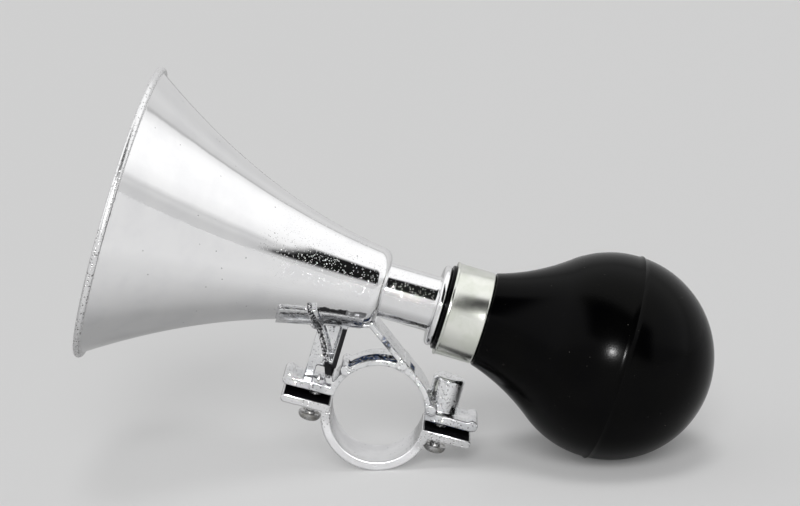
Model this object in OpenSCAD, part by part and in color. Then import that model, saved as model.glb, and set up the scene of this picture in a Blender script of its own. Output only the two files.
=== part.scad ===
// Bulb horn for a bicycle: a plated bell on a two-part handlebar clamp, with a rubber
// bulb held by a metal collar and a brass reed inside the neck.
// Modelled upright, with the horn's axis along +X above the clamp's bore, then laid
// down as it rests on a table: on the clamp's lower half and on the bulb.
// The bore's axis lies along Y through the origin. The mouth points to -X.

/* [Clamp] */
// Radius of the bore, for a 22.2 mm handlebar
bore_r = 11.2; // [10.6:0.1:12.6]
// Width of the lower half along the handlebar
clamp_w = 14; // [10:0.5:18]
// Width of the bracket and its upper half along the handlebar
bracket_w = 10.8; // [9:0.2:14]
// Wall of the lower half
lower_wall = 2.2; // [1.6:0.1:3]
// Wall of the upper half
arch_wall = 1.5; // [1.3:0.1:2.4]
// Gap between the flanges as stored, with the screws backed off
clamp_gap = 1.7; // [1.3:0.1:2.6]
// Height of the upper half's bore centre over the lower half's, with the screws backed off
arch_lift = 1; // [0.4:0.1:1.2]
// Angle between the clamp's flanges and the horn's axis
clamp_turn = 1.8; // [0:0.2:4]
// Thickness of the flanges
flange_t = 2.2; // [1.6:0.1:3]
// Distance from the bore's centre to the end of a lower flange
flange_reach = 23.4; // [21.5:0.1:26]
// Radius of the bead that ends an upper flange
bead_r = 1.4; // [1.1:0.1:1.8]

/* [Screws] */
// Distance from the bore's centre to a screw's axis
screw_x = 15.6; // [15.2:0.1:17]
// Radius of the screw's shank
shank_r = 1.3; // [1:0.05:1.5]
// Radius of the screw's head
head_r = 2.7; // [2.2:0.1:3.2]
// Height of the screw's head
head_h = 1.9; // [1.4:0.1:2.6]
// Length of the left screw under its head
left_len = 9.8; // [9.2:0.1:10.6]
// Length of the right screw under its head
right_len = 13; // [10:0.5:14]
// Gap between a screw's head and the lower flange, as stored
head_gap = 2.7; // [2.2:0.1:3.2]
// Radius of the tower that takes the right screw
tower_r = 3.8; // [3.2:0.1:4.4]
// Distance of the tower's middle from its screw, towards the bell
tower_shift = 0.9; // [0:0.1:1.2]
// Height of the tower above the upper flange
tower_h = 8.6; // [7.6:0.2:11]

/* [Bracket] */
// Height of the horn's axis above the bore's centre
axis_h = 28.8; // [28:0.2:32]
// Thickness of the slanted leg on the bulb's side
leg_t = 1.4; // [1:0.1:2.2]
// Angle at which that leg touches the upper half's outside
leg_angle = 55; // [50:1:58]
// Thickness of the upright rib
rib_t = 1.4; // [1:0.1:2.2]
// Position of the upright rib along the horn
rib_x = -13.3; // [-14:0.1:-12.6]
// Thickness of the slanted strut on the bell's side, measured along the horn
strut_t = 1.8; // [1.4:0.1:2.4]
// Thickness of the webs in the middle plane
web_t = 1.3; // [0.9:0.1:2]
// Depth of the rail under the bell
rail_t = 1.1; // [0.8:0.1:2]
// Distance from the bore's centre to the rail's front end
rail_front = 29.5; // [27:0.5:32]
// Radius of the round moulding marks on the clamp's two sides
mark_r = 1.25; // [0.8:0.05:1.6]

/* [Bell] */
// Position of the mouth's plane along the horn
mouth_x = -72.8; // [-80:0.2:-66]
// Outer radius of the mouth
mouth_r = 35.8; // [32:0.2:39]
// Radius of the rolled bead round the mouth
lip_r = 0.9; // [0.8:0.05:1.3]
// Wall of the bell
bell_wall = 1.4; // [1:0.1:2]
// Outer radius of the bell's narrow end
throat_r = 9.6; // [9.2:0.1:10.6]
// Position of the shoulder at the bell's narrow end
shoulder_x = -6.9; // [-7.4:0.1:-6.2]
// Radius of the rounding on that shoulder
shoulder_r = 2.2; // [1:0.1:2.6]
// Slope of the bell's wall at its narrow end
throat_slope = 0.119; // [0.08:0.005:0.16]
// Length of the socket that holds the neck
socket_l = 6.5; // [5:0.5:9]

/* [Neck] */
// Outer radius of the neck tube
neck_r = 6.7; // [6.3:0.1:7.1]
// Bore radius of the neck tube on the bell's side
neck_bore_r = 4.4; // [3.8:0.1:4.8]
// Radius of the disc that the bulb seats on
disc_r = 9.8; // [9.2:0.1:10.8]
// Position of the disc's face towards the bulb
disc_x = 7.6; // [7.2:0.1:8.2]
// Thickness of the disc
disc_t = 2; // [1.4:0.1:2.6]
// Radius of the spigot inside the bulb's mouth
spigot_r = 7.6; // [7:0.1:8]
// Length of the spigot
spigot_l = 9.4; // [8:0.2:11]

/* [Collar] */
// Outer radius of the collar
collar_r = 11.15; // [10.8:0.05:11.8]
// Wall of the collar
collar_wall = 0.8; // [0.5:0.05:1.1]
// Length of the collar
collar_l = 9.5; // [8:0.1:11]

/* [Bulb] */
// Position of the bulb's centre along the horn
bulb_x = 49.4; // [46:0.2:54]
// Outer radius of the bulb
bulb_r = 24.8; // [23:0.2:28]
// Wall of the bulb
bulb_wall = 2; // [1.4:0.1:2.8]
// Radius of the hollow curve between the bulb and its neck
fillet_r = 50; // [40:1:60]
// Distance from the bulb's centre to its moulding seam
seam_shift = 0.8; // [0:0.1:2]
// Height of the ridge along the seam
seam_h = 0.35; // [0.2:0.05:0.6]
// Thickness of the rubber lip squeezed against the disc
lip_t = 0.8; // [0.5:0.1:1.2]

/* [Reed] */
// Outer radius of the reed's brass tube
reed_r = 2.6; // [2.3:0.1:3]
// Wall of the reed's brass tube
reed_wall = 0.6; // [0.4:0.05:0.8]
// Length of the reed's brass tube
reed_l = 30; // [26:0.5:34]
// Height of the flat that the tongue beats on, above the reed's axis
flat_h = 1.4; // [1.2:0.05:1.6]
// Width of the slot in that flat
slot_w = 1.6; // [1.2:0.1:2]
// Width of the tongue
tongue_w = 3.2; // [2.8:0.1:3.8]
// Thickness of the tongue
tongue_t = 0.3; // [0.2:0.05:0.4]
// Angle at which the tongue stands off the flat
tongue_lift = 2.5; // [1.5:0.1:3.5]

/* [Fits] */
// Clearance round a turning screw, on the radius
screw_fit = 0.05; // [0.02:0.01:0.1]
// Clearance between pieces cemented or seated in each other
seat_fit = 0.1; // [0.05:0.05:0.3]
// Clearance round the tongue's root
tongue_fit = 0.15; // [0.1:0.05:0.3]

/* [Hidden] */
fine = 96;
medium = 48;
small = 32;
over = 1;

// The table touches the lower half and the bulb, which sets how far the horn leans.
lower_r = bore_r + lower_wall;
rest_span = sqrt(axis_h ^ 2 + bulb_x ^ 2);
tilt = atan2(axis_h, bulb_x) - asin((bulb_r - lower_r) / rest_span);

// The bell's outline flares as a parabola from its throat to its rolled bead.
flare_x = shoulder_x - shoulder_r;
bead_x = mouth_x + lip_r;
rim_r = mouth_r - lip_r;
flare_l = flare_x - bead_x;
flare_bend = (rim_r - throat_r - throat_slope * flare_l) / flare_l ^ 2;
function flare_radius(x) = throat_r + throat_slope * (flare_x - x) + flare_bend * (flare_x - x) ^ 2;
function flare_slope(x) = throat_slope + 2 * flare_bend * (flare_x - x);
function flare_inner(x) = flare_radius(x) - bell_wall * sqrt(1 + flare_slope(x) ^ 2);
flare_steps = 22;
socket_x = shoulder_x - socket_l;

arch_r = bore_r + arch_wall;
upper_face = clamp_gap;
bead_inset = 0.75;
upper_reach = flange_reach - bead_inset;
mark_proud = 0.3;
arch_marks = [18, 80, 144];
bite = 0.6;

// The ribs between the upper half and the rail follow the height of the bell's underside.
mark_x = -20.2;
under_h = axis_h - flare_radius(mark_x);
strut_edge = [for (p = [[-21.4, 1.07], [-19.3, 0.905], [-17.8, 0.755], [-15.6, 0.49], [-13.9, 0.23]])
              [p[0], p[1] * under_h]];
gusset_x = -19.4;
gusset_top = under_h - 1.2;
web_top = under_h + 3.2;
rib_foot = 8;
rib_h = web_top + bite - rib_foot;
leg_top = axis_h - throat_r + 3.8;
leg_l = (leg_top - arch_lift - arch_r * sin(leg_angle)) / cos(leg_angle);
rail_back = -8;
tower_cap = 1.6;
pilot_top = upper_face + flange_t + tower_h - tower_cap;
tip_room = 3;
head_seat = -flange_t - head_gap;

spigot_end = disc_x + spigot_l;
barb_h = 0.25;
barb_l = 1.4;
barb_spots = [3, 6];
collar_x = disc_x + lip_t;
rubber_r = collar_r - collar_wall - seat_fit;
collar_lip = 0.25;
collar_lip_w = 0.5;
collar_end = collar_x + collar_l;
swell_r = collar_r + 0.25;
swell_x = collar_end + 0.4;
seam_x = bulb_x + seam_shift;
seam_w = 0.9;
ridge_root = 0.6;
inner_neck_r = spigot_r + barb_h + seat_fit;

// The centre, as (radius, position), of a hollow curve of radius curve_r that starts at
// (start_r, start_x) and meets the ball of radius ball_r without an edge.
function hollow_centre(start_r, start_x, ball_r, curve_r) =
    let (span = bulb_x - start_x,
         reach = sqrt(span ^ 2 + start_r ^ 2),
         open = acos((reach ^ 2 - ball_r ^ 2 - 2 * ball_r * curve_r) / (2 * reach * curve_r)),
         lean = open - atan2(start_r, span))
    [start_r + curve_r * sin(lean), start_x + curve_r * cos(lean)];

bush_l = 7;
bush_proud = 0.4;
bush_x = spigot_end - bush_l;
bush_bore_r = spigot_r - 2;
reed_x = bush_x - 3;
flat_x = spigot_end + 0.6;
ring_x = flat_x + 0.5;
ring_l = 2.6;
ring_wall = 0.7;
tongue_l = 12.5;
tongue_root_x = ring_x + ring_l / 2;
reed_end_t = 1;
tongue_root = ring_l / 2 - 0.1;
slot_x = flat_x + ring_l + 2;
slot_l = tongue_l - ring_l - 2.6;
press_fit = 0.02;

function arc(cx, cy, r, from, to, steps) =
    [for (i = [0:steps]) [cx + r * cos(from + (to - from) * i / steps),
                          cy + r * sin(from + (to - from) * i / steps)]];

// Turns the upright horn into the pose in which it lies on a table.
module laid_down() {
    rotate([0, tilt, 0]) children();
}

// Turns the clamp's own frame against the horn's axis.
module clamp_frame() {
    rotate([0, -clamp_turn, 0]) children();
}

// Revolves a profile of (radius, position along the horn) about the horn's axis.
module along_axis() {
    translate([0, 0, axis_h]) rotate([0, 90, 0]) rotate_extrude($fn = fine) children();
}

// Extrudes a side view of (along the horn, height) across the clamp's middle plane.
module side_plate(width) {
    rotate([90, 0, 0]) linear_extrude(height = width, center = true) children();
}

module bell_outer(grow) {
    round_r = shoulder_r;
    polygon(concat(
        [[0, bead_x]],
        [for (i = [0:flare_steps])
            let (x = bead_x + flare_l * i / flare_steps) [flare_radius(x) + grow, x]],
        [for (p = arc(throat_r - round_r, flare_x, round_r + grow, 0, 90, 6)) p],
        [[0, shoulder_x + grow]]));
}

module bell() {
    throat_inner = socket_x - 2;
    color([0.78, 0.79, 0.81]) laid_down() along_axis() {
        difference() {
            bell_outer(0);
            polygon(concat(
                [[0, bead_x - over], [flare_inner(bead_x), bead_x - over]],
                [for (i = [0:flare_steps])
                    let (x = bead_x + (throat_inner - bead_x) * i / flare_steps)
                    [flare_inner(x), x]],
                [[neck_bore_r, socket_x], [0, socket_x]]));
            translate([0, socket_x - over]) square([neck_bore_r, shoulder_x - socket_x + 2 * over]);
            translate([0, socket_x]) square([neck_r + seat_fit, shoulder_x - socket_x + over]);
        }
        translate([rim_r, bead_x]) circle(r = lip_r, $fn = small);
    }
}

module strut_shape() {
    polygon(concat(strut_edge, [for (i = [len(strut_edge) - 1:-1:0]) strut_edge[i] + [strut_t, 0]]));
}

module upper_bore_shape() {
    rotate(clamp_turn) translate([0, arch_lift]) circle(r = bore_r, $fn = fine);
}

module upper_half_shape() {
    rotate(clamp_turn) {
        difference() {
            translate([0, arch_lift]) circle(r = arch_r, $fn = fine);
            translate([-arch_r - over, upper_face - 2 * arch_r]) square([2 * (arch_r + over), 2 * arch_r]);
        }
        for (side = [-1, 1]) {
            translate([side > 0 ? bore_r : -upper_reach, upper_face])
                square([upper_reach - bore_r, flange_t]);
            translate([side * upper_reach, upper_face + bead_r]) circle(r = bead_r, $fn = small);
        }
    }
}

// The slanted leg touches the upper half's outside and ends inside the bell's outline.
module leg_shape() {
    rotate(clamp_turn) translate([0, arch_lift]) rotate(leg_angle - clamp_turn)
        translate([arch_r - leg_t, 0]) square([leg_t, leg_l]);
}

// The rail's lower edge runs along the bell's underside as seen at the clamp's sides.
module rail_shape() {
    half_w = bracket_w / 2;
    rise = 2 * rail_t + over;
    function skirt(x) = axis_h - sqrt(flare_radius(x) ^ 2 - half_w ^ 2) - rail_t;
    polygon([[-rail_front, skirt(-rail_front)], [rail_back, skirt(rail_back)],
             [rail_back, skirt(rail_back) + rise], [-rail_front, skirt(-rail_front) + rise]]);
}

// The thin web in the middle plane, from the left flange up to the rail.
module web_shape() {
    flange_mid = upper_face + flange_t / 2;
    polygon([[gusset_x, gusset_top], [gusset_x, flange_mid], [bite - arch_r, flange_mid],
             [rib_x, rib_foot + over], [rib_x, web_top], [strut_edge[0][0] + over, strut_edge[0][1]]]);
}

module marks() {
    on_arch = [for (a = arch_marks) [arch_r * cos(a), arch_lift + arch_r * sin(a)]];
    spots = concat(on_arch, [[mark_x, under_h]]);
    for (p = spots)
        translate([p[0], 0, p[1]]) rotate([90, 0, 0])
            cylinder(r = mark_r, h = bracket_w + 2 * mark_proud, center = true, $fn = small);
}

module tower() {
    edge = 0.8;
    clamp_frame() translate([screw_x - tower_shift, 0, upper_face]) rotate_extrude($fn = medium)
        polygon(concat([[0, flange_t / 2], [tower_r, flange_t / 2]],
            arc(tower_r - edge, flange_t + tower_h - edge, edge, 0, 90, 5),
            [[0, flange_t + tower_h]]));
}

module clamp_bracket() {
    color([0.72, 0.73, 0.76]) laid_down() difference() {
        union() {
            side_plate(bracket_w) difference() {
                union() {
                    upper_half_shape();
                    leg_shape();
                    strut_shape();
                    rail_shape();
                    translate([rib_x - rib_t / 2, rib_foot]) square([rib_t, rib_h]);
                }
                upper_bore_shape();
            }
            side_plate(web_t) difference() {
                web_shape();
                upper_bore_shape();
            }
            difference() {
                union() {
                    marks();
                    tower();
                }
                side_plate(2 * clamp_w) upper_bore_shape();
            }
        }
        along_axis() bell_outer(seat_fit);
        clamp_frame() {
            translate([-screw_x, 0, upper_face - over])
                cylinder(r = shank_r + screw_fit, h = over + flange_t + tip_room, $fn = medium);
            translate([screw_x, 0, upper_face - over])
                cylinder(r = shank_r + screw_fit, h = pilot_top - upper_face + over, $fn = medium);
        }
    }
}

module clamp_lower() {
    end_r = flange_t / 2;
    color([0.76, 0.76, 0.78]) laid_down() difference() {
        side_plate(clamp_w) rotate(clamp_turn) difference() {
            union() {
                difference() {
                    circle(r = lower_r, $fn = fine);
                    translate([-lower_r - over, 0]) square([2 * (lower_r + over), 2 * lower_r]);
                }
                for (side = [-1, 1]) {
                    translate([side > 0 ? bore_r : -flange_reach + end_r, -flange_t])
                        square([flange_reach - end_r - bore_r, flange_t]);
                    translate([side * (flange_reach - end_r), -end_r]) circle(r = end_r, $fn = small);
                }
            }
            circle(r = bore_r, $fn = fine);
        }
        clamp_frame() for (side = [-1, 1])
            translate([side * screw_x, 0, -flange_t - over])
                cylinder(r = shank_r + screw_fit, h = flange_t + 2 * over, $fn = medium);
    }
}

// A pan-head screw standing on its head, its head's seat at zero.
module screw(length) {
    dome = 0.7;
    tip_l = 1.6;
    drive_w = 0.7;
    drive_l = 3;
    drive_h = 1.1;
    difference() {
        rotate_extrude($fn = medium) polygon(concat(
            [[0, -head_h]],
            [[head_r - dome, -head_h], [head_r - 0.2, -head_h + 0.5], [head_r, -head_h + 1.1], [head_r, 0]],
            [[shank_r, 0], [shank_r, length - tip_l], [0.3, length], [0, length]]));
        for (turn = [0, 90])
            rotate([0, 0, turn + 45]) translate([-drive_l / 2, -drive_w / 2, -head_h - over])
                cube([drive_l, drive_w, drive_h + over]);
    }
}

module screw_left() {
    color([0.62, 0.62, 0.6]) laid_down() clamp_frame() translate([-screw_x, 0, head_seat]) screw(left_len);
}

module screw_right() {
    color([0.62, 0.62, 0.6]) laid_down() clamp_frame() translate([screw_x, 0, head_seat]) screw(right_len);
}

module neck_tube() {
    edge = disc_t / 2;
    start = socket_x + seat_fit;
    color([0.75, 0.76, 0.78]) laid_down() along_axis() difference() {
        union() {
            translate([0, start]) square([neck_r, disc_x - start - disc_t / 2]);
            translate([0, disc_x - disc_t]) square([disc_r - edge, disc_t]);
            translate([disc_r - edge, disc_x - disc_t / 2]) circle(r = edge, $fn = small);
            translate([0, disc_x - disc_t / 2]) square([spigot_r, spigot_l + disc_t / 2]);
            for (spot = barb_spots) translate([0, disc_x + spot])
                polygon([[0, 0], [spigot_r, 0], [spigot_r + barb_h, barb_h], [spigot_r, barb_l],
                         [0, barb_l]]);
        }
        translate([-over, start - over]) square([neck_bore_r + over, spigot_end - start + 2 * over]);
        translate([-over, bush_x]) square([bush_bore_r + over, bush_l + over]);
    }
}

module collar() {
    inner = collar_r - collar_wall;
    bend = 0.75;
    color([0.6, 0.62, 0.58]) laid_down() along_axis()
        polygon(concat([[inner, collar_x], [collar_r + collar_lip, collar_x],
                        [collar_r + collar_lip, collar_x + collar_lip_w],
                        [collar_r, collar_x + collar_lip_w + collar_lip]],
            arc(collar_r - bend, collar_end - bend, bend, 0, 90, 5),
            [[inner, collar_end]]));
}

// A hollow curve from the neck to the ball, and the ball up to its far pole.
function neck_and_ball(start_r, start_x, ball_r, curve_r) =
    let (centre = hollow_centre(start_r, start_x, ball_r, curve_r),
         begin = atan2(start_x - centre[1], start_r - centre[0]),
         meet = atan2(bulb_x - centre[1], centre[0]))
    concat(arc(centre[0], centre[1], curve_r, begin, 180 - meet, 8),
           [for (p = arc(0, bulb_x, ball_r, -meet, 90, 30)) if (p[1] > bulb_x - ball_r * sin(meet)) p]);

// The bulb's outline from its mouth to its far pole, with the ridge left out.
module bulb_outline() {
    polygon(concat(
        [[0, disc_x], [rubber_r, disc_x], [rubber_r, collar_end + seat_fit]],
        neck_and_ball(swell_r, swell_x, bulb_r, fillet_r)));
}

module bulb_hollow() {
    polygon(concat(
        [[0, disc_x - over], [inner_neck_r, disc_x - over]],
        neck_and_ball(inner_neck_r, spigot_end, bulb_r - bulb_wall, fillet_r + bulb_wall)));
}

module bulb_ridge() {
    for (step = [[0.6 * seam_h, seam_w], [seam_h, seam_w / 2]])
        translate([bulb_r - ridge_root, seam_x - step[1] / 2]) square([ridge_root + step[0], step[1]]);
}

module bulb_half(front) {
    reach = bulb_r * 2;
    along_axis() intersection() {
        difference() {
            union() {
                bulb_outline();
                bulb_ridge();
            }
            bulb_hollow();
        }
        translate([0, front ? disc_x - over : seam_x])
            square([reach, front ? seam_x - disc_x + over : reach]);
    }
}

module bulb_front() {
    color([0.07, 0.07, 0.075]) laid_down() bulb_half(true);
}

module bulb_back() {
    color([0.09, 0.09, 0.095]) laid_down() bulb_half(false);
}

module reed_bush() {
    color([0.85, 0.84, 0.8]) laid_down() along_axis() difference() {
        translate([0, bush_x + press_fit]) square([bush_bore_r - seat_fit, bush_l + bush_proud]);
        translate([-over, bush_x - over]) square([reed_r + press_fit + over, bush_l + 3 * over]);
    }
}

module reed_tube() {
    bore = reed_r - reed_wall;
    top = axis_h + flat_h;
    color([0.78, 0.62, 0.3]) laid_down() difference() {
        along_axis() difference() {
            translate([0, reed_x]) square([reed_r, reed_l]);
            translate([-over, reed_x - over]) square([bore + over, reed_l - reed_end_t + over]);
        }
        translate([flat_x, -reed_r - over, top]) cube([reed_l, 2 * (reed_r + over), reed_r]);
        translate([slot_x, -slot_w / 2, axis_h]) cube([slot_l, slot_w, reed_r + over]);
    }
}

// The tongue turns about the middle of its root, a clearance above the flat.
module reed_tongue() {
    color([0.82, 0.68, 0.36]) laid_down()
        translate([tongue_root_x, 0, axis_h + flat_h + tongue_fit]) rotate([0, -tongue_lift, 0])
            translate([-tongue_root, -tongue_w / 2, 0]) cube([tongue_l, tongue_w, tongue_t]);
}

module reed_ring() {
    slot_h = tongue_t + 2 * tongue_fit;
    color([0.7, 0.55, 0.28]) laid_down() difference() {
        along_axis() translate([reed_r + press_fit, ring_x]) square([ring_wall, ring_l]);
        translate([ring_x - over, -tongue_w / 2 - tongue_fit, axis_h + flat_h])
            cube([ring_l + 2 * over, tongue_w + 2 * tongue_fit, slot_h]);
    }
}

bell();
clamp_bracket();
clamp_lower();
screw_left();
screw_right();
neck_tube();
collar();
bulb_front();
bulb_back();
reed_bush();
reed_tube();
reed_tongue();
reed_ring();
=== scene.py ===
from math import acos, asin, atan2, cos, degrees, hypot, pi, radians, sin, sqrt

import bpy
from mathutils import Matrix, Vector


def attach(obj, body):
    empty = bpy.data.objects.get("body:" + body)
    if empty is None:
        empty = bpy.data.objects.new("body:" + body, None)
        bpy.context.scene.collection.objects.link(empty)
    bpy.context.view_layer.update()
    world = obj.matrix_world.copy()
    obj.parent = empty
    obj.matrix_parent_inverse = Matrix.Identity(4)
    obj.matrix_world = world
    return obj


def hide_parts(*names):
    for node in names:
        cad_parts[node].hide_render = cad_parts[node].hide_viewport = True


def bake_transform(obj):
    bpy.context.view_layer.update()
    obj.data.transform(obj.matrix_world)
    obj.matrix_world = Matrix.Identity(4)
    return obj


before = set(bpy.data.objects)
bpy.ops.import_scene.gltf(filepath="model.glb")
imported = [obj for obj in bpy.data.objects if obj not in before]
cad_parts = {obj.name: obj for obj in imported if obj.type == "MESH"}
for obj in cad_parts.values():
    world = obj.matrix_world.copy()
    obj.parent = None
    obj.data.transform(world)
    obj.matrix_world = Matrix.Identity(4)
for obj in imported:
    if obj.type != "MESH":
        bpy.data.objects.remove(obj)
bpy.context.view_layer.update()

MM = 0.001

# Sizes of the horn in millimetres, standing upright with the clamp's middle at the origin.

AXIS_H = 28.8
BORE_R = 11.2
LOWER_R = 13.4
BULB_X = 49.4
BULB_R = 24.8

MOUTH_X = -72.8
MOUTH_R = 35.8
LIP_R = 0.9
WALL = 1.4
THROAT_R = 9.6
SHOULDER_X = -6.9
SHOULDER_R = 2.2
SLOPE = 0.119
FLARE_X = SHOULDER_X - SHOULDER_R
BEAD_X = MOUTH_X + LIP_R
RIM_R = MOUTH_R - LIP_R
FLARE_L = FLARE_X - BEAD_X
BEND = (RIM_R - THROAT_R - SLOPE * FLARE_L) / FLARE_L ** 2
NECK_R = 6.7
NECK_BORE_R = 4.4
SOCKET_X = SHOULDER_X - 6.5
DISC_X = 7.6
SPIGOT_R = 7.6
SPIGOT_END = 17.0
COLLAR_X = 8.4
COLLAR_R = 11.15
COLLAR_L = 9.5
COLLAR_END = COLLAR_X + COLLAR_L
SEAM_X = BULB_X + 0.8
CLAMP_W = 14.0
FLANGE_T = 2.2
SCREW_X = 15.6
SCREW_SEAT = -4.9

# How the horn lies: it leans until clamp and bulb both touch the table, and the clamp is turned a little.

TILT = atan2(AXIS_H, BULB_X) - asin((BULB_R - LOWER_R) / hypot(AXIS_H, BULB_X))
CLAMP_TURN = radians(1.8)
TABLE_Z = -LOWER_R * MM


# Camera.


def set_camera():
    """The camera that fits the mouth's rim, the clamp's ring, the collar and the bulb's seam."""
    camera = bpy.data.cameras.new("photo_camera")
    camera.sensor_width = 36.0
    camera.lens = 101.9
    camera.clip_start = 0.01
    camera.clip_end = 20.0
    holder = bpy.data.objects.new("photo_camera", camera)
    right = Vector((0.99889, 0.02581, -0.03946))
    up = Vector((0.03291, 0.21760, 0.97548))
    back = Vector((0.03376, -0.97570, 0.21650))
    place = Vector((0.02504, -0.52416, 0.15457))
    holder.matrix_world = Matrix((
        (right.x, up.x, back.x, place.x),
        (right.y, up.y, back.y, place.y),
        (right.z, up.z, back.z, place.z),
        (0, 0, 0, 1),
    ))
    bpy.context.scene.collection.objects.link(holder)
    bpy.context.scene.camera = holder


# Building a finish.


class Wire:
    """An output socket of a finish. Arithmetic on it adds Math nodes."""

    def __init__(self, finish, socket):
        self.finish = finish
        self.socket = socket

    def _math(self, operation, first, second):
        return self.finish.node("ShaderNodeMath", {"operation": operation}, {0: first, 1: second})

    def __add__(self, other):
        return self._math("ADD", self, other)

    def __radd__(self, other):
        return self._math("ADD", other, self)

    def __sub__(self, other):
        return self._math("SUBTRACT", self, other)

    def __rsub__(self, other):
        return self._math("SUBTRACT", other, self)

    def __mul__(self, other):
        return self._math("MULTIPLY", self, other)

    def __rmul__(self, other):
        return self._math("MULTIPLY", other, self)

    def __gt__(self, other):
        return self._math("GREATER_THAN", self, other)


class Finish:
    """A node tree, and the few calls that build one."""

    def __init__(self, tree):
        self.tree = tree

    def node(self, kind, settings=None, sockets=None, output=0):
        made = self.tree.nodes.new(kind)
        for key, value in (settings or {}).items():
            if key == "stops":
                ramp = made.color_ramp
                while len(ramp.elements) < len(value):
                    ramp.elements.new(0.5)
                for element, (place, level) in zip(ramp.elements, value):
                    element.position = place
                    element.color = (level, level, level, 1.0)
            else:
                setattr(made, key, value)
        for key, value in (sockets or {}).items():
            self.feed(made.inputs[key], value)
        return Wire(self, made.outputs[output])

    def feed(self, socket, value):
        if isinstance(value, Wire):
            self.tree.links.new(value.socket, socket)
        else:
            socket.default_value = value

    def parts(self, vector):
        return [self.node("ShaderNodeSeparateXYZ", {}, {0: vector}, output=i) for i in range(3)]

    def mix(self, factor, first, second):
        colours = [(*c, 1.0) if isinstance(c, tuple) else c for c in (first, second)]
        return self.node("ShaderNodeMix", {"data_type": "RGBA"},
                         {0: factor, 6: colours[0], 7: colours[1]}, output=2)

    def ramp(self, value, low, high):
        """Zero below low, one above high, smooth between."""
        return self.node("ShaderNodeMapRange", {"interpolation_type": "SMOOTHSTEP"},
                         {0: value, 1: low, 2: high, 3: 0.0, 4: 1.0})


class Surface(Finish):
    """A material with one Principled shader."""

    def __init__(self, name, **constants):
        self.material = bpy.data.materials.new(name)
        self.material.use_nodes = True
        super().__init__(self.material.node_tree)
        self.shader = self.tree.nodes["Principled BSDF"]
        for key, value in constants.items():
            self.set(key.replace("_", " ").title().replace("Ior", "IOR"), value)

    def set(self, socket, value):
        self.feed(self.shader.inputs[socket], value)

    def place(self):
        """Object coordinates, turned so that X runs along the horn's axis."""
        spot = self.node("ShaderNodeTexCoord", output=3)
        return self.node("ShaderNodeMapping", {"vector_type": "TEXTURE"},
                         {0: spot, 2: (0.0, TILT, 0.0)})

    def noise(self, where, scale, detail=3.0, roughness=0.5, stretch=None):
        if stretch:
            where = self.node("ShaderNodeVectorMath", {"operation": "MULTIPLY"}, {0: where, 1: stretch})
        return self.node("ShaderNodeTexNoise", {},
                         {"Vector": where, "Scale": scale, "Detail": detail, "Roughness": roughness})

    def patches(self, where, scale, low, high, detail=3.0, roughness=0.5):
        """Soft-edged patches: none where the noise is below low, full where it is above high."""
        return self.ramp(self.noise(where, scale, detail, roughness), low, high)

    def specks(self, where, scale, share, size):
        """Round specks: one in every few cells, given by share, of a cell's size times size."""
        cell = {"Vector": where, "Scale": scale}
        spread = self.node("ShaderNodeTexVoronoi", {}, cell)
        chance = self.node("ShaderNodeSeparateColor", {},
                           {0: self.node("ShaderNodeTexVoronoi", {}, cell, output=1)})
        return self.ramp(spread, size, size * 0.5) * (chance > 1.0 - share)

    def inside(self, value, low, high, edge):
        """One between low and high, with soft edges (millimetres)."""
        return (self.ramp(value, (low - edge) * MM, (low + edge) * MM)
                * self.ramp(value, (high + edge) * MM, (high - edge) * MM))

    def size_of(self, value):
        return self.node("ShaderNodeMath", {"operation": "ABSOLUTE"}, {0: value})

    def largest(self, first, *masks):
        for mask in masks:
            first = self.node("ShaderNodeMath", {"operation": "MAXIMUM"}, {0: first, 1: mask})
        return first

    def bump(self, height, distance):
        self.set("Normal", self.node("ShaderNodeBump", {},
                                     {"Height": height, "Distance": distance, "Strength": 1.0}))


# The plated finishes.

PIT = (0.25, 0.25, 0.26)
WORN_PIT = (0.06, 0.055, 0.05)
# The dark colour of painted shade, and of the grey flecks in it.
SHADE_BLACK = (0.006, 0.006, 0.007)
GREY_FLECK = (0.012, 0.012, 0.013)
# A blue fleck in the painted shade: a painted reflection of a blue light.
BLUE_REFLECTION_FLECK = (0.03, 0.07, 0.19)


class Spot:
    """A point of the upright horn: along the bore, across it, and up from the clamp's middle."""

    def __init__(self, made):
        self.where = made.place()
        self.along, self.across, self.up = made.parts(self.where)

    def in_clamp(self):
        """Position along and height in the clamp's own frame, which is turned a little."""
        return (self.along * cos(CLAMP_TURN) + self.up * sin(CLAMP_TURN),
                self.up * cos(CLAMP_TURN) - self.along * sin(CLAMP_TURN))


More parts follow.
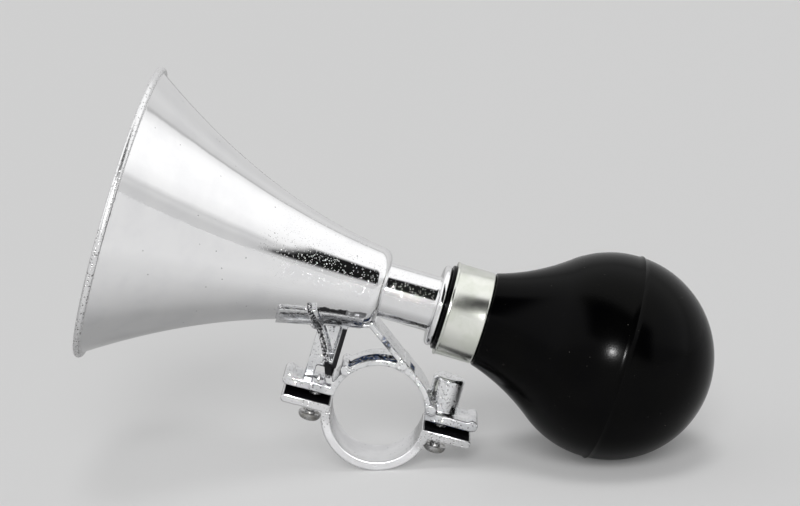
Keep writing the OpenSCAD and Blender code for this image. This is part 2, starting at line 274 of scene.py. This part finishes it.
def plating(name, bright, dull, shine, grain, pits, painted_shade, worn, matt=None, marked=None,
            fleck=GREY_FLECK):
    """Bright plating on moulded plastic: fine waves, pits, dull clouds and worn places, and painted shade
    that is drawn dark, matt and not metal.
    """
    made = Surface(name, metallic=1.0, specular_ior_level=0.0)
    spot = Spot(made)
    cloud = made.patches(spot.where, 130.0, 0.42, 0.68, detail=4.0)
    fine = made.noise(spot.where, 1500.0, 2.0, 0.6)
    pit = made.specks(spot.where, 1300.0, pits, 0.3)
    blotch = made.patches(spot.where, 1300.0, 0.59, 0.65, detail=4.0, roughness=0.7)
    worn_pit = made.largest(made.specks(spot.where, 1700.0, 0.4, 0.4), blotch) * worn(made, spot)
    # Painted shade: where this mask is, the plating is drawn dark, matt and not metal, standing in for
    # shadow in gaps and hollows.
    painted_dark = painted_shade(made, spot)
    soft = matt(made, spot) if matt else 0.0
    mark = marked(made, spot) if marked else 0.0

    colour = made.mix(cloud, bright, dull)
    colour = made.mix(0.6 * pit, colour, PIT)
    colour = made.mix(0.88 * worn_pit, colour, WORN_PIT)
    # Flecks in the painted shade, only from the rib towards the leg: grey on the bell and clamp, and on
    # the bracket blue, a painted reflection.
    flecked = made.patches(spot.where, 900.0, 0.48, 0.56, roughness=0.6)
    flecked = flecked * made.ramp(spot.along, -12.6 * MM, -12.0 * MM)
    made.set("Base Color", made.mix(painted_dark, colour, made.mix(flecked, SHADE_BLACK, fleck)))
    made.set("Metallic", 1.0 - painted_dark)
    made.set("Roughness", shine + 0.04 * cloud + 0.03 * fine + 0.25 * worn_pit + 0.3 * painted_dark
             + soft + 0.2 * mark)
    waves = made.noise(spot.where, 95.0, 2.0, 0.4)
    made.bump(waves + grain * fine - 0.5 * pit - 0.8 * worn_pit - 0.3 * mark, 0.00006)
    return made.material


def lip_wear(made, spot):
    """The rolled lip is pitted, most of all on its lower half."""
    lip = made.ramp(spot.along, (MOUTH_X + 2.1) * MM, (MOUTH_X + 1.5) * MM)
    return lip * (0.5 + 0.5 * made.ramp(spot.up, 45.0 * MM, 20.0 * MM))


def lip_haze(made, spot):
    """The rolled lip is duller than the flare."""
    return 0.22 * made.ramp(spot.along, (MOUTH_X + 2.0) * MM, (MOUTH_X + 1.6) * MM)


def dented_throat(made, spot):
    """Tiny dents round the narrow end, which show where the reflection is dark."""
    marks = made.largest(made.specks(spot.where, 2300.0, 0.12, 0.4),
                         made.specks(spot.where, 3600.0, 0.16, 0.45))
    return marks * made.inside(spot.along, -36.0, 6.0, 6.0)


def saddle_gap_shadow(made, spot):
    """Along the bracket's upper edge the bell is painted dark, matt and not metal: painted shade of the
    gap between the bracket's saddle and the bell, patchy towards the neck.
    """
    ragged = 1.8 * MM * (made.noise(spot.where, 700.0) - 0.5)
    band = made.inside(spot.up - 0.13 * spot.along + ragged, 24.2, 25.3, 0.2)
    thin = made.patches(spot.where, 420.0, 0.42, 0.52)
    return band * made.largest(0.97 * made.inside(spot.along, -21.4, -14.0, 0.25),
                               0.8 * thin * made.inside(spot.along, -14.4, -9.4, 0.3))


def bracket_painted_shade(made, spot):
    """Painted shade on the bracket, dark, matt and not metal: between the flanges, over the arch's bore,
    in the corner under the strut, and in patches on the strut, rib and leg.
    """
    along, across, up = spot.along, spot.across, spot.up
    here, height = spot.in_clamp()
    # Painted shadow in the gap between the flanges.
    gap = made.ramp(height, 1.95 * MM, 1.8 * MM) * made.ramp(made.size_of(here), 11.6 * MM, 12.2 * MM)
    side = made.ramp(made.size_of(across), 4.95 * MM, 5.15 * MM)

    # Painted shade on the sides of the strut and the rib, and in the corner where they meet.
    rise = up - 4.0 * MM
    strut_middle = -13.0 * MM - 0.35 * rise - 10.5 * rise * rise
    strut = made.ramp(made.size_of(along - strut_middle), 0.85 * MM, 0.65 * MM)
    strut = strut * made.inside(up, 5.5, 22.8, 0.2)
    strut = strut * made.patches(spot.where, 1900.0, 0.43, 0.5, roughness=0.65)
    rib = made.inside(along, -13.75, -12.3, 0.12) * made.inside(up, 8.5, 18.2, 0.2)
    corner = made.inside(along, -15.6, -12.6, 0.25) * made.inside(up, 6.0, 9.2, 0.4)

    # Painted dark reflection on the arch's bore and on the leg's side, where the blue flecks fall.
    above = height - 1.0 * MM
    from_middle = made.node("ShaderNodeMath", {"operation": "SQRT"}, {0: here * here + above * above})
    arch = made.ramp(from_middle, 12.45 * MM, 12.6 * MM) * made.ramp(from_middle, 13.3 * MM, 13.1 * MM)
    arch = arch * made.inside(here, -11.0, 6.0, 0.3) * made.inside(across, -5.1, 0.2, 0.2)
    arch = arch * made.patches(spot.where, 1500.0, 0.37, 0.43, roughness=0.6)
    leg = made.inside(along, -4.0, 0.4, 0.5) * made.inside(up, 16.4, 20.4, 0.6)
    leg = leg * made.patches(spot.where, 800.0, 0.46, 0.54, roughness=0.6)
    return made.largest(gap, 0.97 * side * strut, 0.97 * side * rib, 0.98 * corner,
                        0.99 * arch, 0.85 * side * leg)


def clamp_gap_shadow(made, spot):
    """The faces between the flanges are painted dark: painted shade of the gap between them."""
    here, height = spot.in_clamp()
    return (made.ramp(height, -0.25 * MM, -0.1 * MM)
            * made.ramp(made.size_of(here), 11.4 * MM, 11.9 * MM))


def matt_ring(made, spot):
    """The lower ring is duller than its flanges."""
    return 0.3 * made.ramp(spot.up, -2.5 * MM, -6.0 * MM)


def worn_all_over(made, spot):
    """The bracket's plating is worn in patches everywhere."""
    return 0.85 * made.patches(spot.where, 260.0, 0.36, 0.58)


def worn_flanges(made, spot):
    """The lower half is worn on its flanges and not on its ring."""
    return worn_all_over(made, spot) * made.ramp(spot.up, -8.0 * MM, -4.5 * MM)


# The other finishes.


def zinc_sheet(name):
    """Rolled zinc-plated sheet with fine lines round it and a yellowish cast."""
    zinc = Surface(name, metallic=1.0)
    where = zinc.place()
    turn_lines = zinc.noise(where, 900.0, 3.0, 0.6, stretch=(6.0, 0.25, 0.25))
    cloud = zinc.patches(where, 220.0, 0.4, 0.65, detail=4.0)
    zinc.set("Base Color", zinc.mix(cloud, (0.8, 0.81, 0.76), (0.73, 0.75, 0.68)))
    zinc.set("Roughness", 0.17 + 0.05 * cloud + 0.06 * turn_lines)
    zinc.bump(turn_lines + 0.2 * cloud, 0.00001)
    return zinc.material


def dusty_rubber(name):
    """Smooth black rubber with a fine grain, a little dust and a few specks of lint."""
    rubber = Surface(name, specular_ior_level=0.06)
    where = rubber.place()
    cloud = rubber.patches(where, 70.0, 0.4, 0.7, detail=4.0)
    grain = rubber.noise(where, 2600.0, 2.0, 0.6)
    dust = rubber.specks(where, 420.0, 0.05, 0.11)
    lint = rubber.specks(where, 1100.0, 0.03, 0.2)
    colour = rubber.mix(cloud, (0.0006, 0.0006, 0.0008), (0.0014, 0.0014, 0.0012))
    rubber.set("Base Color", rubber.mix(0.3 * dust + 0.25 * lint, colour, (0.2, 0.19, 0.17)))
    rubber.set("Roughness", 0.15 + 0.05 * cloud + 0.03 * grain + 0.3 * dust)
    rubber.bump(grain + 0.5 * cloud + 0.6 * dust, 0.00001)
    return rubber.material


def dull_steel(name):
    """Screw steel with darker clouds."""
    steel = Surface(name, metallic=1.0)
    where = steel.place()
    cloud = steel.patches(where, 600.0, 0.4, 0.65, detail=4.0)
    steel.set("Base Color", steel.mix(cloud, (0.62, 0.62, 0.62), (0.36, 0.35, 0.33)))
    steel.set("Roughness", 0.2 + 0.25 * cloud)
    steel.bump(steel.noise(where, 3000.0), 0.00003)
    return steel.material


def cream_plastic(name):
    """The reed bush's cream plastic."""
    bush = Surface(name, specular_ior_level=0.4)
    where = bush.place()
    cloud = bush.noise(where, 300.0)
    bush.set("Base Color", bush.mix(cloud, (0.74, 0.72, 0.66), (0.66, 0.63, 0.56)))
    bush.set("Roughness", 0.45 + 0.15 * cloud)
    bush.bump(bush.noise(where, 1800.0), 0.00003)
    return bush.material


def drawn_brass(name, light, dark):
    """Brass with fine lines along it and darker stains."""
    brass = Surface(name, metallic=1.0)
    where = brass.place()
    lines = brass.noise(where, 1400.0, 3.0, 0.6, stretch=(0.2, 4.0, 4.0))
    stain = brass.patches(where, 380.0, 0.45, 0.7, detail=4.0)
    brass.set("Base Color", brass.mix(stain, light, dark))
    brass.set("Roughness", 0.24 + 0.12 * lines + 0.14 * stain)
    brass.bump(lines, 0.00002)
    return brass.material


def finishes():
    """All the horn's materials, by the record's names for them."""
    return {
        "plated_bell": plating("plated_bell", (0.885, 0.885, 0.89), (0.85, 0.85, 0.86),
                               shine=0.03, grain=0.03, pits=0.012, painted_shade=saddle_gap_shadow,
                               worn=lip_wear, matt=lip_haze, marked=dented_throat),
        "plated_bracket": plating("plated_bracket", (0.87, 0.875, 0.885), (0.68, 0.69, 0.71),
                                  shine=0.06, grain=0.5, pits=0.3, painted_shade=bracket_painted_shade,
                                  worn=worn_all_over, fleck=BLUE_REFLECTION_FLECK),
        "plated_clamp": plating("plated_clamp", (0.85, 0.85, 0.86), (0.74, 0.74, 0.75),
                                shine=0.1, grain=0.35, pits=0.1, painted_shade=clamp_gap_shadow,
                                worn=worn_flanges, matt=matt_ring),
        "zinc_collar": zinc_sheet("zinc_collar"),
        "black_rubber": dusty_rubber("black_rubber"),
        "screw_steel": dull_steel("screw_steel"),
        "bush_plastic": cream_plastic("bush_plastic"),
        "reed_brass": drawn_brass("reed_brass", (0.78, 0.6, 0.28), (0.5, 0.35, 0.15)),
        "tongue_brass": drawn_brass("tongue_brass", (0.86, 0.7, 0.38), (0.66, 0.5, 0.22)),
    }


# Modelling by operators.


def deselect():
    if bpy.context.object and bpy.context.object.mode != "OBJECT":
        bpy.ops.object.mode_set(mode="OBJECT")
    bpy.ops.object.select_all(action="DESELECT")


def pick(piece):
    deselect()
    piece.select_set(True)
    bpy.context.view_layer.objects.active = piece


def edit(kind):
    bpy.ops.object.mode_set(mode="EDIT")
    bpy.ops.mesh.select_mode(type=kind)


def drawn(name, points, closed):
    """Starts a piece as a chain of corners, drawn by extruding one corner from point to point."""
    deselect()
    bpy.ops.mesh.primitive_plane_add(size=1.0 * MM, location=points[0])
    piece = bpy.context.object
    piece.name = piece.data.name = name
    bpy.ops.object.transform_apply(location=True, rotation=True, scale=True)
    edit("VERT")
    bpy.ops.mesh.select_all(action="SELECT")
    bpy.ops.mesh.merge(type="CENTER")
    here = Vector(points[0])
    for point in list(points[1:]) + ([points[0]] if closed else []):
        step = Vector(point) - here
        bpy.ops.mesh.extrude_region_move(TRANSFORM_OT_translate={"value": step})
        here = Vector(point)
    bpy.ops.mesh.select_all(action="SELECT")
    bpy.ops.mesh.remove_doubles(threshold=1e-7)
    return piece


def closed_up(piece, smooth=32):
    """Merges what meets, turns the faces outwards, and shades edges under an angle (degrees) smooth."""
    bpy.ops.mesh.select_all(action="SELECT")
    bpy.ops.mesh.remove_doubles(threshold=1e-6)
    bpy.ops.mesh.normals_make_consistent(inside=False)
    bpy.ops.object.mode_set(mode="OBJECT")
    bpy.ops.object.shade_smooth_by_angle(angle=radians(smooth))
    return piece


def turned(name, outline, closed=False, steps=160, smooth=32):
    """Spins an outline of (position along, radius) about the horn's axis, upright and on X."""
    piece = drawn(name, [(x * MM, 0.0, r * MM) for x, r in outline], closed)
    bpy.ops.mesh.spin(steps=steps, angle=2 * pi, center=(0, 0, 0), axis=(1, 0, 0), use_auto_merge=True)
    return closed_up(piece, smooth)


def wrapped(name, outline, reach, steps):
    """Spins a closed outline round the bell's underside, as far as reach (degrees) on each side."""
    first = [(x * MM, r * sin(radians(-reach)) * MM, -r * cos(radians(reach)) * MM) for x, r in outline]
    piece = drawn(name, first, True)
    bpy.ops.mesh.edge_face_add()
    bpy.ops.mesh.spin(steps=steps, angle=radians(-2 * reach), center=(0, 0, 0), axis=(1, 0, 0))
    return closed_up(piece)


def plate(name, outline, width):
    """Fills a side view of (along, height) and gives it a width across the middle plane."""
    piece = drawn(name, [(x * MM, -width / 2 * MM, n * MM) for x, n in outline], True)
    bpy.ops.mesh.edge_face_add()
    bpy.ops.mesh.extrude_region_move(TRANSFORM_OT_translate={"value": (0, width * MM, 0)})
    return closed_up(piece)


def finish_with(piece, kind, **settings):
    """Adds one modifier and applies it."""
    pick(piece)
    modifier = piece.modifiers.new(kind.lower(), kind)
    for key, value in settings.items():
        setattr(modifier, key, value)
    bpy.ops.object.modifier_apply(modifier=modifier.name)


def cut(piece, tool):
    finish_with(piece, "BOOLEAN", operation="DIFFERENCE", object=tool, solver="EXACT")
    bpy.data.objects.remove(tool, do_unlink=True)


def joined(name, parts):
    deselect()
    for part in parts:
        part.select_set(True)
    bpy.context.view_layer.objects.active = parts[0]
    bpy.ops.object.join()
    parts[0].name = parts[0].data.name = name
    return parts[0]


def moved(piece, change):
    """Moves a piece by a matrix, and puts the move into its mesh."""
    pick(piece)
    piece.matrix_world = change
    bpy.ops.object.transform_apply(location=True, rotation=True, scale=True)
    return piece


def laid_down(piece, lift=0.0, turn=0.0, shift=(0.0, 0.0)):
    """Moves a piece from upright coordinates to where it lies on the table."""
    spot = Matrix.Rotation(TILT, 4, "Y") @ Matrix.Translation((0, 0, lift * MM))
    spot = spot @ Matrix.Rotation(-turn, 4, "Y") @ Matrix.Translation((shift[0] * MM, 0, shift[1] * MM))
    return moved(piece, spot)


def placed(piece, looks, slot, body, *nodes):
    """Gives a piece its finish, the body that it rides on and the solids that it stands for."""
    piece.data.materials.clear()
    piece.data.materials.append(looks[slot])
    if body:
        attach(piece, body)
    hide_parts(*nodes)


# Outlines, in millimetres.


def evenly(first, last, steps):
    return [first + (last - first) * i / steps for i in range(steps + 1)]


def arc(x, r, radius, start, stop, steps):
    """Points of an arc about (x, r), its angles counted from the direction away from the axis."""
    return [(x + radius * sin(radians(a)), r + radius * cos(radians(a)))
            for a in evenly(start, stop, steps)]


def flare(x):
    """The bell's outer radius."""
    q = FLARE_X - x
    return THROAT_R + SLOPE * q + BEND * q * q


def flare_inside(x):
    """The bell's inner radius, a wall's thickness square to the flare."""
    slope = SLOPE + 2 * BEND * (FLARE_X - x)
    return flare(x) - WALL * sqrt(1 + slope * slope)


def bell_outline():
    """From the lip along the outside to the shoulder and socket, back along the inside, and the lip."""
    steps = 64
    turn_l, turn_r, drop = 3.2, 2.5, 0.1
    start = SHOULDER_X - turn_l
    outer = [(x, flare(x)) for x in evenly(BEAD_X + 0.78, start, steps)]
    shoulder = [(start + turn_l * sin(radians(a)),
                 flare(start) - turn_r * (1 - cos(radians(a))) - drop * sin(radians(a)))
                for a in range(8, 91, 8)]
    socket = [(SHOULDER_X, NECK_R + 0.45), (SHOULDER_X - 0.35, NECK_R + 0.1),
              (SOCKET_X, NECK_R + 0.1), (SOCKET_X, NECK_BORE_R)]
    inner = [(x, flare_inside(x)) for x in evenly(SOCKET_X - 2, BEAD_X, steps)[:-1]]
    lip = arc(BEAD_X, RIM_R, LIP_R, -158, 122, 24)
    return outer + shoulder + socket + inner + lip


def neck_outline():
    """The tube, the disc that the bulb seats on, and the spigot with its three low rings."""
    edge, disc_r, ring, wide_bore_r = 1.0, 9.8, 0.25, 5.6
    start = SOCKET_X + 0.1
    tube = [(start, NECK_BORE_R), (start, NECK_R - 0.2), (start + 0.2, NECK_R),
            (4.9, NECK_R), (5.35, NECK_R + 0.18)]
    disc = arc(DISC_X - edge, disc_r - edge, edge, -90, 90, 16)
    spigot = [(DISC_X, SPIGOT_R), (10.6, SPIGOT_R), (10.9, SPIGOT_R + ring), (12.0, SPIGOT_R),
              (13.6, SPIGOT_R), (13.9, SPIGOT_R + ring), (15.0, SPIGOT_R), (16.7, SPIGOT_R),
              (SPIGOT_END, SPIGOT_R - 0.3), (SPIGOT_END, wide_bore_r), (10.0, wide_bore_r),
              (10.0, NECK_BORE_R)]
    return tube + disc + spigot


def collar_outline():
    """A sheet band with a rolled edge towards the neck and a rounded one over the bulb."""
    sheet, bead, edge = 0.8, 0.25, 0.75
    inner_r = COLLAR_R - sheet
    rolled = [(COLLAR_X + 0.12, inner_r), (COLLAR_X, inner_r + 0.15), (COLLAR_X, COLLAR_R + 0.13),
              (COLLAR_X + 0.12, COLLAR_R + bead), (COLLAR_X + 0.42, COLLAR_R + bead),
              (COLLAR_X + 0.6, COLLAR_R + 0.12), (COLLAR_X + 0.8, COLLAR_R)]
    return rolled + arc(COLLAR_END - edge, COLLAR_R - edge, edge, 0, 90, 8) + [(COLLAR_END, inner_r)]


def neck_and_ball(start, start_r, ball_r, curve_r, curve_steps, ball_steps):
    """A hollow curve that starts at a point of the neck and runs into the ball, up to its far pole."""
    span = BULB_X - start
    reach = hypot(span, start_r)
    opening = acos((reach ** 2 - ball_r ** 2 - 2 * ball_r * curve_r) / (2 * reach * curve_r))
    lean = opening - atan2(start_r, span)
    centre = start + curve_r * cos(lean)
    centre_r = start_r + curve_r * sin(lean)
    begin = 180 + degrees(atan2(centre - start, centre_r - start_r))
    meet = degrees(atan2(BULB_X - centre, centre_r))
    hollow = arc(centre, centre_r, curve_r, begin, 180 - meet, curve_steps)
    return hollow + arc(BULB_X, 0.0, ball_r, -meet, 90, ball_steps)[1:]


def with_seam(point):
    """Lifts a point of the ball onto the low ridge that the mould left."""
    x, r = point
    ridge_h, ridge_half = 0.32, 0.62
    out = hypot(x - BULB_X, r)
    ridge = ridge_h * max(0.0, 1 - ((x - SEAM_X) / ridge_half) ** 2)
    return (x + ridge * (x - BULB_X) / out, max(r + ridge * r / out, 0.0))


def bulb_outline():
    """Outside from the mouth to the far pole and back along the inside."""
    rubber_r = COLLAR_R - 0.9
    swell_r = COLLAR_R + 0.25
    neck = [(DISC_X + 0.15, SPIGOT_R + 0.35), (DISC_X, SPIGOT_R + 0.6), (DISC_X, rubber_r - 0.15),
            (DISC_X + 0.12, rubber_r), (COLLAR_END + 0.05, rubber_r),
            (COLLAR_END + 0.1, swell_r - 0.2), (COLLAR_END + 0.2, swell_r - 0.05)]
    outer = neck_and_ball(COLLAR_END + 0.4, swell_r, BULB_R, 50.0, 24, 84)
    inner = neck_and_ball(SPIGOT_END, SPIGOT_R + 0.35, BULB_R - 2.0, 52.0, 16, 44)
    inner[-1] = (inner[-1][0], 0.0)
    return neck + [with_seam(point) for point in outer] + inner[::-1]


# Bell, neck, collar and bulb.


def make_turned(looks):
    bell = laid_down(turned("bell_shell", bell_outline(), closed=True, steps=192), AXIS_H)
    placed(bell, looks, "plated_bell", "horn", "bell")
    neck = laid_down(turned("neck_and_disc", neck_outline(), closed=True, steps=128), AXIS_H)
    placed(neck, looks, "plated_bell", "horn", "neck_tube")
    collar = laid_down(turned("bulb_collar", collar_outline(), closed=True, steps=128), AXIS_H)
    placed(collar, looks, "zinc_collar", "horn", "collar")
    bulb = laid_down(turned("rubber_bulb", bulb_outline(), closed=True, steps=176, smooth=40), AXIS_H)
    placed(bulb, looks, "black_rubber", None, "bulb_front", "bulb_back")
    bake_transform(bulb)


# Bracket and clamp.


def bell_saddle():
    """The bracket's thin wings that hug the bell, and the strut's end that runs up over them."""
    def along_bell(front, back, height):
        places = evenly(front, back, 8)
        return ([(x, flare(x) - 0.4) for x in places]
                + [(x, flare(x) + height) for x in reversed(places)])
    wings = wrapped("saddle_wings", along_bell(-29.5, -9.6, 0.9), 54, 40)
    strut_end = wrapped("strut_end", along_bell(-21.5, -19.2, 1.7), 60, 44)
    lift = Matrix.Translation((0, 0, AXIS_H * MM))
    middle = Matrix.Translation((-20.4 * MM, 0, 19.0 * MM))
    lean = middle @ Matrix.Rotation(radians(-28), 4, "Y") @ middle.inverted()
    return [moved(wings, lift), moved(strut_end, lean @ lift)]


def make_bracket(looks):
    """The bracket's solid, merged and remeshed upright so that its moulded edges come out rounded."""
    voxel = 0.22
    piece = bpy.data.objects.new("clamp_bracket_skin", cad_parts["clamp_bracket"].data.copy())
    bpy.context.scene.collection.objects.link(piece)
    pick(piece)
    edit("VERT")
    bpy.ops.mesh.select_all(action="SELECT")
    bpy.ops.mesh.remove_doubles(threshold=1e-6)
    moved(piece, Matrix.Rotation(-TILT, 4, "Y"))
    piece = joined("clamp_bracket_skin", [piece] + bell_saddle())
    finish_with(piece, "REMESH", mode="VOXEL", voxel_size=voxel * MM, use_smooth_shade=True)
    finish_with(piece, "SMOOTH", factor=0.5, iterations=3)
    laid_down(piece)
    placed(piece, looks, "plated_bracket", "horn", "clamp_bracket")


def make_lower_clamp(looks):
    """The U-shaped strap with its two round-ended flanges and their screw holes."""
    flange_x, hole_r = 23.4, 1.35
    end_r = FLANGE_T / 2
    down = degrees(asin(FLANGE_T / LOWER_R))
    outline = [(BORE_R, 0.0)]
    outline += arc(flange_x - end_r, -end_r, end_r, 0, 180, 9)
    outline += arc(0, 0, LOWER_R, 90 + down, 270 - down, 60)
    outline += arc(end_r - flange_x, -end_r, end_r, 180, 360, 9)
    outline += arc(0, 0, BORE_R, 270, 90, 60)[:-1]
    piece = plate("clamp_lower_half", outline, CLAMP_W)
    for side in (-1, 1):
        bpy.ops.mesh.primitive_cylinder_add(vertices=48, radius=hole_r * MM, depth=8 * MM,
                                            location=(side * SCREW_X * MM, 0, -end_r * MM))
        cut(piece, bpy.context.object)
    finish_with(piece, "BEVEL", width=0.35 * MM, segments=3, limit_method="ANGLE",
                angle_limit=radians(40), harden_normals=False)
    pick(piece)
    bpy.ops.object.shade_smooth_by_angle(angle=radians(35))
    laid_down(piece, turn=CLAMP_TURN)
    placed(piece, looks, "plated_clamp", "lower_clamp", "clamp_lower")


def make_screw(name, length, side, looks, body, node):
    """A pan-head screw with a cross in its head, built along X from the head's seat and turned up."""
    shank_r, core_r, pitch = 1.3, 0.98, 1.1
    head_r, head_h, angle = 2.7, 1.9, 38
    head = [(-head_h, 0.0), (-head_h, 0.9), (-head_h + 0.05, 1.5), (-head_h + 0.25, 2.05),
            (-head_h + 0.6, 2.45), (-head_h + 1.05, 2.66), (-head_h + 1.5, head_r),
            (-0.15, head_r), (0.0, head_r - 0.15)]
    shank = [(0.0, shank_r), (0.35, shank_r), (0.6, core_r), (length - 1.6, core_r),
             (length, 0.12), (length, 0.0)]
    piece = turned(name, head + shank, steps=48, smooth=angle)
    for turn in (45, 135):
        bpy.ops.mesh.primitive_cube_add(size=1.0, location=(-head_h * MM, 0, 0),
                                        rotation=(radians(turn), 0, 0),
                                        scale=(2.2 * MM, 3.0 * MM, 0.7 * MM))
        cut(piece, bpy.context.object)

    root_r = core_r - 0.15
    ridge = [(0.0, root_r), (pitch * 0.36, root_r), (pitch * 0.24, shank_r - 0.03),
             (pitch * 0.2, shank_r), (pitch * 0.16, shank_r), (pitch * 0.12, shank_r - 0.03)]
    thread = drawn(name + "_thread", [((x + 0.5) * MM, 0.0, r * MM) for x, r in ridge], True)
    bpy.ops.object.mode_set(mode="OBJECT")
    finish_with(thread, "SCREW", axis="X", screw_offset=pitch * MM,
                iterations=int((length - 2.2) / pitch), steps=24, render_steps=24,
                angle=2 * pi, use_merge_vertices=True, merge_threshold=1e-6)
    pick(thread)
    edit("EDGE")
    bpy.ops.mesh.select_all(action="DESELECT")
    bpy.ops.mesh.select_non_manifold()
    bpy.ops.mesh.edge_face_add()
    closed_up(thread, angle)

    piece = moved(joined(name, [piece, thread]), Matrix.Rotation(-pi / 2, 4, "Y"))
    laid_down(piece, turn=CLAMP_TURN, shift=(side * SCREW_X, SCREW_SEAT))
    placed(piece, looks, "screw_steel", body, node)


# Studio.


def make_table():
    """A pale table that gives off part of its brightness, for the camera and for what mirrors it."""
    deselect()
    bpy.ops.mesh.primitive_plane_add(size=8.0, location=(0, 0, TABLE_Z))
    floor = bpy.context.object
    floor.name = "pale_table"
    table = Surface("pale_table", roughness=0.6, specular_ior_level=0.0)
    seen, mirrored = (table.node("ShaderNodeLightPath", output=i) for i in (0, 3))
    side, near, _ = table.parts(table.node("ShaderNodeTexCoord", output=3))
    # Under the bell more of the brightness is its own, so the shadow there stays faint.
    under_bell = table.ramp(side, 0.035, -0.02)
    table.set("Base Color", table.mix(under_bell, (0.7, 0.7, 0.7), (0.35, 0.35, 0.35)))
    glow = seen * (0.095 + 0.265 * under_bell)
    # In reflections the table glows more in front of the horn than behind it: painted light, so that the
    # plating mirrors a darker floor behind.
    glow = glow + mirrored * (0.15 * under_bell + 0.27 * table.ramp(near, -0.008, -0.062))
    table.set("Emission Color", table.mix(glow, (0.0, 0.0, 0.0), (1.0, 1.0, 1.0)))
    table.set("Emission Strength", 1.0)
    floor.data.materials.append(table.material)


def make_lights():
    """Two wide soft suns for light and shadow, and a small lamp that only reflections show."""
    for name, energy, width, lean in (("soft_window", 1.53, 30, 56), ("soft_ceiling", 0.6, 20, 7)):
        sun = bpy.data.lights.new(name, "SUN")
        sun.energy = energy
        sun.angle = radians(width)
        holder = bpy.data.objects.new(name, sun)
        holder.rotation_euler = (radians(lean), 0.0, radians(2))
        holder.visible_glossy = False
        bpy.context.scene.collection.objects.link(holder)

    lamp = bpy.data.lights.new("front_lamp", "AREA")
    lamp.shape = "DISK"
    lamp.size = 0.05
    lamp.energy = 9.5
    place = Vector((0.05, -1.15, 0.42))
    target = Vector((0.03, 0.0, 0.0))
    holder = bpy.data.objects.new("front_lamp", lamp)
    holder.location = place
    holder.rotation_euler = (target - place).to_track_quat("-Z", "Y").to_euler()
    holder.visible_diffuse = False
    bpy.context.scene.collection.objects.link(holder)


def make_room():
    """The world: one plain level for light, another behind the table, and the room that metal mirrors."""
    room_light, backdrop, brightest = 0.3, 0.62, 1.2
    sky = bpy.data.worlds.new("studio")
    bpy.context.scene.world = sky
    sky.use_nodes = True
    made = Finish(sky.node_tree)
    x, y, z = made.parts(made.node("ShaderNodeTexCoord", output=0))
    # The angle goes from the front at 0, over the top at 0.5, to the back at 1.
    angle = made.node("ShaderNodeMath", {"operation": "ARCTAN2"}, {0: z, 1: 0.0 - y}) * (1 / pi)
    levels = ((0.0, 0.66), (0.06, 0.64), (0.1, 0.72), (0.13, 0.68), (0.19, 0.98), (0.35, 1.12),
              (0.62, 1.16), (0.69, 1.1), (0.745, 0.9), (0.757, 0.48), (0.775, 0.68), (0.83, 0.74),
              (0.9, 0.67), (1.0, 0.66))
    stops = [(at, level / brightest) for at, level in levels]
    bands = made.node("ShaderNodeValToRGB", {"stops": stops}, {0: angle})
    level = brightest * made.node("ShaderNodeSeparateColor", {}, {0: bands})
    # A dark stretch in front makes the long streak at the bell's narrow end.
    gloom = made.ramp(x, 0.72, 0.66) * made.ramp(x, -0.5, -0.3)
    gloom = gloom * made.ramp(angle + 0.22 * x, 0.46, 0.4) * made.ramp(angle + 0.17 * x, 0.12, 0.17)
    level = level * (1.0 - 0.99 * gloom)
    # A small bright place, low in front, adds a glint to what curves towards it.
    glint = made.ramp(x, 0.08, 0.14) * made.ramp(x, 0.33, 0.27)
    glint = glint * made.ramp(angle, 0.05, 0.065) * made.ramp(angle, 0.12, 0.105)
    level = level + 1.6 * glint
    seen, mirrored = (made.node("ShaderNodeLightPath", output=i) for i in (0, 3))
    strength = made.node("ShaderNodeMix", {"data_type": "FLOAT"}, {0: mirrored, 2: room_light, 3: level})
    strength = made.node("ShaderNodeMix", {"data_type": "FLOAT"}, {0: seen, 2: strength, 3: backdrop})
    background = sky.node_tree.nodes["Background"]
    made.feed(background.inputs[0], (1.0, 1.0, 1.0, 1.0))
    made.feed(background.inputs[1], strength)


# All together.

bpy.context.scene.view_settings.view_transform = "Standard"
set_camera()
looks = finishes()
make_table()
make_lights()
make_room()
make_turned(looks)
make_bracket(looks)
make_lower_clamp(looks)
make_screw("left_clamp_screw", 9.8, -1, looks, "left_screw", "screw_left")
make_screw("right_clamp_screw", 13.0, 1, looks, "right_screw", "screw_right")
for node, finish in (("reed_bush", "bush_plastic"), ("reed_tube", "reed_brass"),
                     ("reed_tongue", "tongue_brass"), ("reed_ring", "reed_brass")):
    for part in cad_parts[node].material_slots:
        part.material = looks[finish]
deselect()
